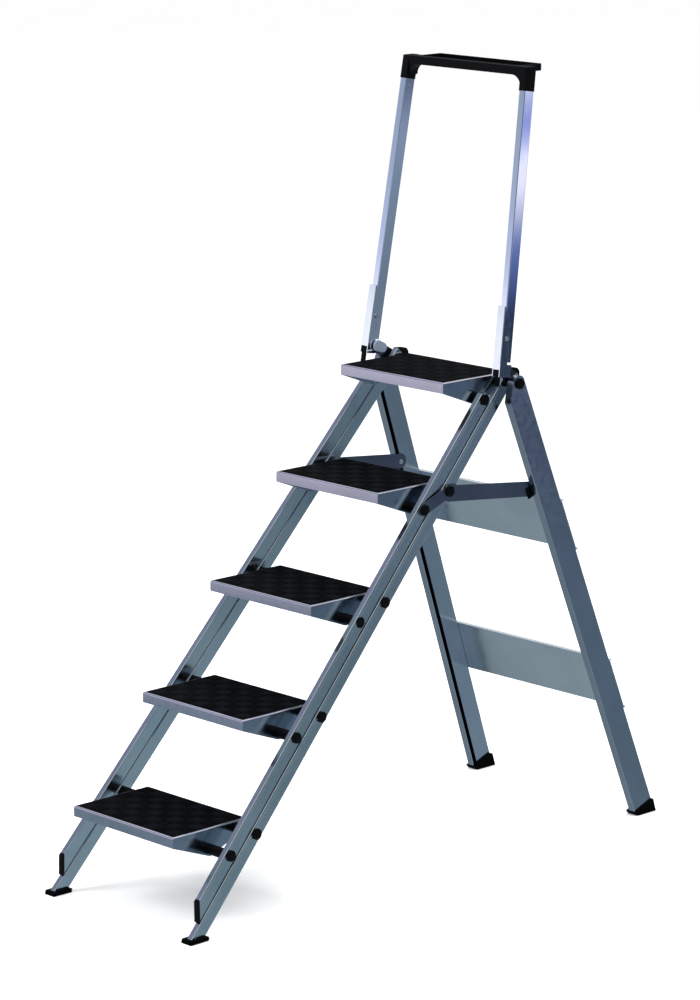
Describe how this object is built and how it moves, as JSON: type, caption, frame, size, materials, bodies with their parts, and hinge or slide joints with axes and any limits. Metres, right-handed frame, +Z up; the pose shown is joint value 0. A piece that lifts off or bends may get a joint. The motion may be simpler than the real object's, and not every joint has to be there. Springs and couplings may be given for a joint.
{
  "type": "step ladder",
  "caption": "Free-standing folding step ladder with wide treads, twin stiles, folding braced rear legs and a tall handrail carrying a tool tray.",
  "frame": {"origin": "on the floor, at the middle of the open ladder's footprint", "axes": "+Z up, +Y from the climbing side towards the rear legs, +X to the right of someone climbing"},
  "size_m": [0.601, 1.5441, 1.908],
  "materials": {
    "black_rubber": "ribbed matt rubber",
    "foot_rubber": "moulded matt rubber",
    "tread_aluminium": "folded sheet, satin",
    "stile_aluminium": "extruded, brushed",
    "leg_aluminium": "extruded, brushed",
    "rail_aluminium": "extruded, brushed",
    "sleeve_aluminium": "satin",
    "bracket_aluminium": "dark anodised",
    "arm_aluminium": "satin sheet",
    "brace_aluminium": "folded sheet, satin",
    "plated_steel": "zinc plated",
    "black_plastic": "moulded, matt",
    "grey_plastic": "moulded, matt"
  },
  "bodies": {
    "frame": {"rear_stile_right": "stile_aluminium", "rear_stile_left": "stile_aluminium", "rear_stile_caps": "black_plastic", "front_foot_right": "foot_rubber", "front_foot_left": "foot_rubber", "rear_pins": "plated_steel", "rear_pin_caps": "black_plastic", "rear_bushes": "black_plastic", "arm_bushes": "black_plastic", "rail_bracket_right": "bracket_aluminium", "rail_bracket_left": "bracket_aluminium", "bracket_block_right": "black_plastic", "bracket_block_left": "black_plastic", "pivot_washers": "black_plastic", "bracket_bolts": "plated_steel", "tilt_bolt": "plated_steel", "tilt_nuts": "plated_steel"},
    "front_frame": {"front_stile_right": "stile_aluminium", "front_stile_left": "stile_aluminium", "front_stile_cap_right": "black_plastic", "front_stile_cap_left": "black_plastic", "front_pins": "plated_steel", "front_pin_caps": "black_plastic", "front_bushes": "black_plastic"},
    "step_1": {"tread_1": "tread_aluminium", "mat_1": "black_rubber"},
    "step_2": {"tread_2": "tread_aluminium", "mat_2": "black_rubber"},
    "step_3": {"tread_3": "tread_aluminium", "mat_3": "black_rubber"},
    "step_4": {"tread_4": "tread_aluminium", "mat_4": "black_rubber", "crank_arm_right": "arm_aluminium", "crank_arm_left": "arm_aluminium", "arm_pin_caps": "black_plastic", "guide_studs": "plated_steel", "guide_blocks": "black_plastic"},
    "step_5": {"tread_5": "tread_aluminium", "mat_5": "black_rubber"},
    "rear_legs": {"rear_leg_right": "leg_aluminium", "rear_leg_left": "leg_aluminium", "rear_foot_right": "foot_rubber", "rear_foot_left": "foot_rubber", "upper_brace": "brace_aluminium", "lower_brace": "brace_aluminium", "brace_rivets": "plated_steel", "leg_pivot_caps": "black_plastic"},
    "handrail": {"rail_sleeve_right": "sleeve_aluminium", "rail_sleeve_left": "sleeve_aluminium", "rail_packings": "black_plastic", "sleeve_bolts": "plated_steel", "rail_bar_right": "rail_aluminium", "rail_bar_left": "rail_aluminium", "rail_corner_right": "black_plastic", "rail_corner_left": "black_plastic", "tool_tray": "black_plastic", "rail_rivets": "plated_steel"},
    "knob": {"lock_knob": "grey_plastic", "lock_screw": "plated_steel"}
  },
  "joints": [
    {"name": "rear_legs_fold", "type": "hinge", "parent": "frame", "child": "rear_legs", "pos_m": [0, 0.317, 1.154], "axis": [-1, 0, 0], "range_deg": [0, 63.32]},
    {"name": "step_1_tilt", "type": "hinge", "parent": "frame", "child": "step_1", "pos_m": [0, -0.551, 0.214], "axis": [-1, 0, 0], "range_deg": [0, 132.72]},
    {"name": "step_2_tilt", "type": "hinge", "parent": "frame", "child": "step_2", "pos_m": [0, -0.334, 0.449], "axis": [-1, 0, 0], "range_deg": [0, 132.72]},
    {"name": "step_3_tilt", "type": "hinge", "parent": "frame", "child": "step_3", "pos_m": [0, -0.117, 0.684], "axis": [-1, 0, 0], "range_deg": [0, 132.72]},
    {"name": "step_4_tilt", "type": "hinge", "parent": "frame", "child": "step_4", "pos_m": [0, 0.1, 0.919], "axis": [-1, 0, 0], "range_deg": [0, 132.72]},
    {"name": "step_5_tilt", "type": "hinge", "parent": "frame", "child": "step_5", "pos_m": [0, 0.317, 1.154], "axis": [-1, 0, 0], "range_deg": [0, 132.72]},
    {"name": "front_frame_swing", "type": "hinge", "parent": "step_4", "child": "front_frame", "pos_m": [0, 0.018, 0.885], "axis": [1, 0, 0], "range_deg": [0, 132.72]},
    {"name": "handrail_tilt", "type": "hinge", "parent": "frame", "child": "handrail", "pos_m": [0, 0.278, 1.194], "axis": [-1, 0, 0], "range_deg": [0, 33.7]},
    {"name": "knob_turn", "type": "hinge", "parent": "frame", "child": "knob", "pos_m": [-0.207, 0.278, 1.194], "axis": [1, 0, 0], "range_deg": [0, 90]}
  ],
  "couplings": [
    {"joint": "step_1_tilt", "follows": "rear_legs_fold", "ratio": 2.096},
    {"joint": "step_2_tilt", "follows": "rear_legs_fold", "ratio": 2.096},
    {"joint": "step_3_tilt", "follows": "rear_legs_fold", "ratio": 2.096},
    {"joint": "step_4_tilt", "follows": "rear_legs_fold", "ratio": 2.096},
    {"joint": "step_5_tilt", "follows": "rear_legs_fold", "ratio": 2.096},
    {"joint": "front_frame_swing", "follows": "rear_legs_fold", "ratio": 2.096}
  ]
}
